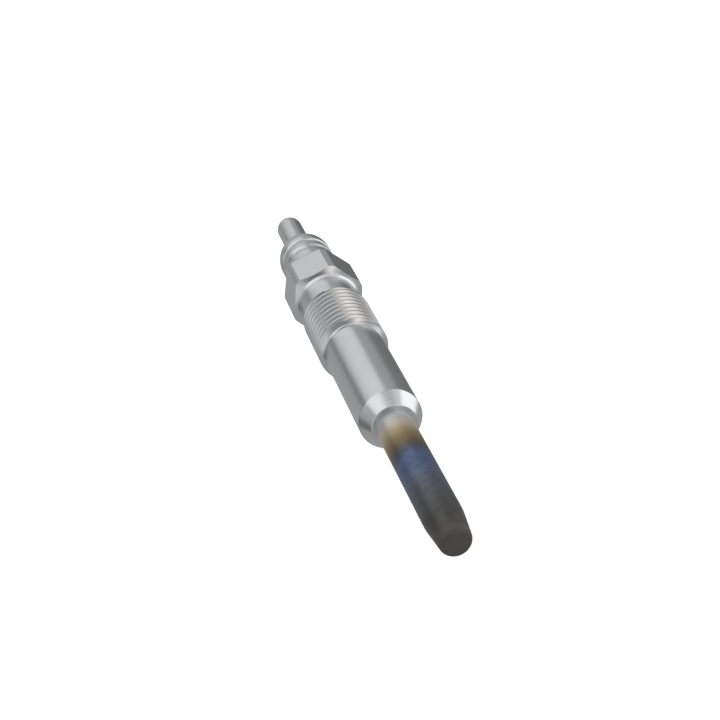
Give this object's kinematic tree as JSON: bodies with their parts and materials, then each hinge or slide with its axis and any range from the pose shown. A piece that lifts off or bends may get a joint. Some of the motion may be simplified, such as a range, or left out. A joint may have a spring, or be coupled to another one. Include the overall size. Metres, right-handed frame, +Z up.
{
  "type": "diesel glow plug",
  "caption": "Sheathed diesel engine glow plug with a tapered glow tube, sealing cone, threaded body, hexagon and push-on terminal pin.",
  "frame": {"origin": "on the plug's axis, at the edge where the plain shank meets the sealing cone", "axes": "+Y along the plug's axis towards the terminal pin, the glow tube's tip to -Y; +Z up, square to the hexagon flat that faces down"},
  "size_m": [0.011, 0.1005, 0.01],
  "materials": {
    "body": "bright satin plating on turned steel",
    "tube": "heat-resisting steel, dark at the tip with straw, brown and blue temper colours towards the body",
    "heating_wire": "drawn resistance wire",
    "control_wire": "drawn nickel wire",
    "powder": "compacted magnesium oxide",
    "seal": "moulded elastomer",
    "rod": "drawn steel",
    "backing": "hard plastic",
    "insulator": "grey moulded plastic",
    "terminal": "bright plated steel"
  },
  "bodies": {
    "root": {"plug_body": "body", "glow_tube": "tube", "heating_coil": "heating_wire", "control_coil": "control_wire", "insulating_powder": "powder", "tube_seal": "seal", "connecting_rod": "rod", "gasket_backing_ring": "backing", "gasket_ring": "seal", "insulating_washer": "insulator", "terminal_pin": "terminal"}
  },
  "joints": []
}
